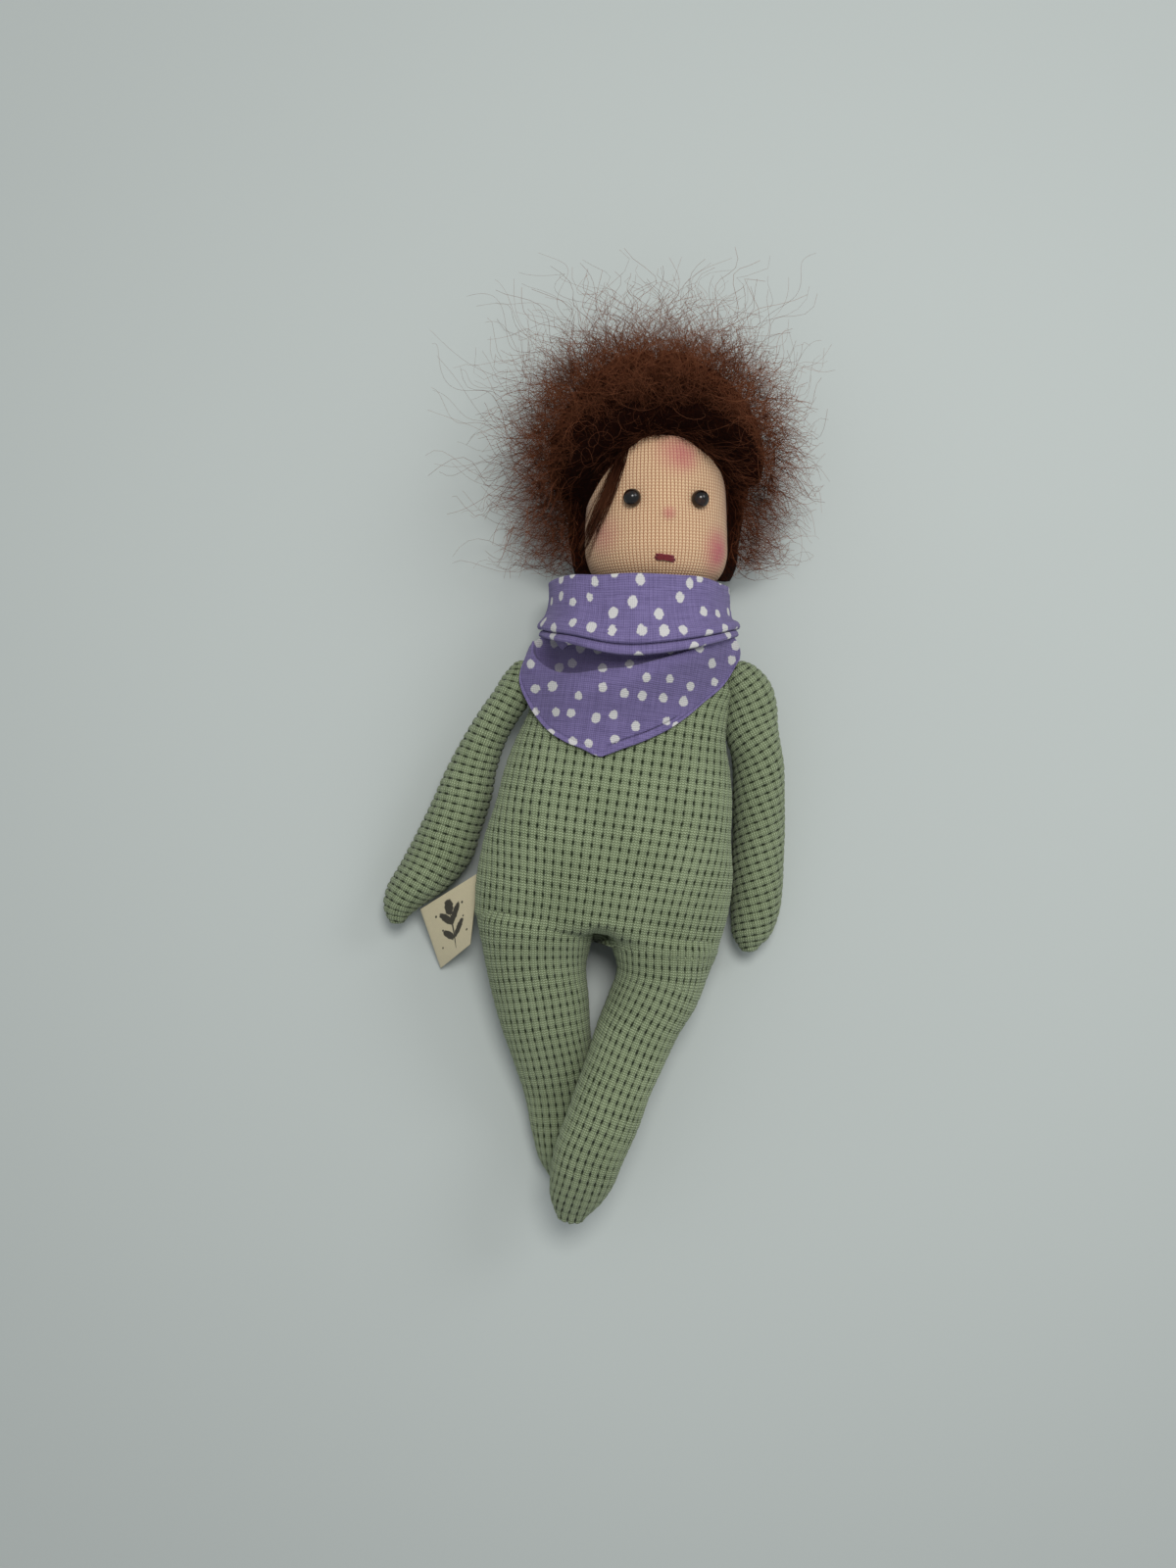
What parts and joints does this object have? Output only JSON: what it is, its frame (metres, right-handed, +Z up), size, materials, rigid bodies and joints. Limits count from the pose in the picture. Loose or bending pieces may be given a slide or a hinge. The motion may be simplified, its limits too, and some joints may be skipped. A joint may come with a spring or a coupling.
{
  "type": "soft cloth doll",
  "caption": "Soft stuffed doll lying on its back: waffle knit body, jersey head with bead eyes, brushed hair, dotted neck scarf and a folded side label.",
  "frame": {"origin": "on the floor under the middle of the doll's outline, with the doll lying on its back", "axes": "+Y from the feet towards the head, +X to the right in a view from above, +Z up from the floor; left and right in names are as seen from above"},
  "size_m": [0.1458, 0.317, 0.0557],
  "materials": {
    "waffle": "sage green waffle knit cotton",
    "wool": "loose carded wool",
    "jersey": "skin coloured cotton jersey",
    "gauze": "tubular cotton gauze",
    "thread": "twisted cotton thread",
    "hair": "brushed brown mohair",
    "bead": "glossy dark glass bead",
    "mouth": "red embroidery thread",
    "scarf": "lilac woven cotton with small white dots",
    "tape": "beige cotton twill tape"
  },
  "bodies": {
    "torso": {"torso_skin": "waffle", "torso_fill": "wool", "scarf": "scarf", "scarf_knot": "scarf"},
    "neck": {"neck_core": "wool", "neck_thread": "thread"},
    "head": {"head_skin": "jersey", "head_gauze": "gauze", "head_wool": "wool", "left_eye": "bead", "right_eye": "bead", "left_eye_thread": "thread", "right_eye_thread": "thread", "mouth_stitch": "mouth", "hair_cap": "gauze", "hair": "hair"},
    "hips": {"crotch_gusset": "waffle", "left_hip_stitch": "thread"},
    "left_leg": {"left_leg_skin": "waffle", "left_leg_fill": "wool"},
    "right_hip": {"right_hip_stitch": "thread"},
    "right_leg": {"right_leg_skin": "waffle", "right_leg_fill": "wool"},
    "left_shoulder": {"left_shoulder_thread": "thread"},
    "left_arm": {"left_arm_skin": "waffle", "left_arm_fill": "wool"},
    "right_shoulder": {"right_shoulder_thread": "thread"},
    "right_arm": {"right_arm_skin": "waffle", "right_arm_fill": "wool"},
    "label": {"side_label": "tape"}
  },
  "joints": [
    {"name": "neck_turn", "type": "hinge", "parent": "torso", "child": "neck", "pos_m": [0.0219, 0.05948, 0.0275], "axis": [0, 1, 0], "range_deg": [-60, 60]},
    {"name": "head_nod", "type": "hinge", "parent": "neck", "child": "head", "pos_m": [0.0219, 0.05948, 0.0275], "axis": [1, 0, 0], "range_deg": [-10, 10]},
    {"name": "sit_fold", "type": "hinge", "parent": "torso", "child": "hips", "pos_m": [0.0015, -0.06102, 0.03968], "axis": [-0.989, 0.1478, 0], "range_deg": [0, 90]},
    {"name": "left_leg_spread", "type": "hinge", "parent": "hips", "child": "left_leg", "pos_m": [-0.03629, -0.05537, 0.03968], "axis": [0, 0, -1], "range_deg": [0, 15]},
    {"name": "right_leg_lift", "type": "hinge", "parent": "hips", "child": "right_hip", "pos_m": [0.04086, -0.0669, 0.03968], "axis": [-0.989, 0.1478, 0], "range_deg": [0, 45]},
    {"name": "right_leg_spread", "type": "hinge", "parent": "right_hip", "child": "right_leg", "pos_m": [0.04086, -0.0669, 0.03968], "axis": [0, 0, 1], "range_deg": [0, 45]},
    {"name": "left_arm_lift", "type": "hinge", "parent": "torso", "child": "left_shoulder", "pos_m": [-0.0274, 0.02608, 0.02], "axis": [-1, 0, 0], "range_deg": [-20, 95]},
    {"name": "left_arm_spread", "type": "hinge", "parent": "left_shoulder", "child": "left_arm", "pos_m": [-0.0274, 0.02608, 0.02], "axis": [0, 0, -1], "range_deg": [0, 80]},
    {"name": "right_arm_lift", "type": "hinge", "parent": "torso", "child": "right_shoulder", "pos_m": [0.05449, 0.02498, 0.02], "axis": [-1, 0, 0], "range_deg": [-20, 95]},
    {"name": "right_arm_spread", "type": "hinge", "parent": "right_shoulder", "child": "right_arm", "pos_m": [0.05449, 0.02498, 0.02], "axis": [0, 0, 1], "range_deg": [0, 80]},
    {"name": "label_flap", "type": "hinge", "parent": "torso", "child": "label", "pos_m": [-0.0393, -0.04072, 0.021], "axis": [0.1278, 0.9796, 0.1549], "range_deg": [-10, 100]}
  ]
}
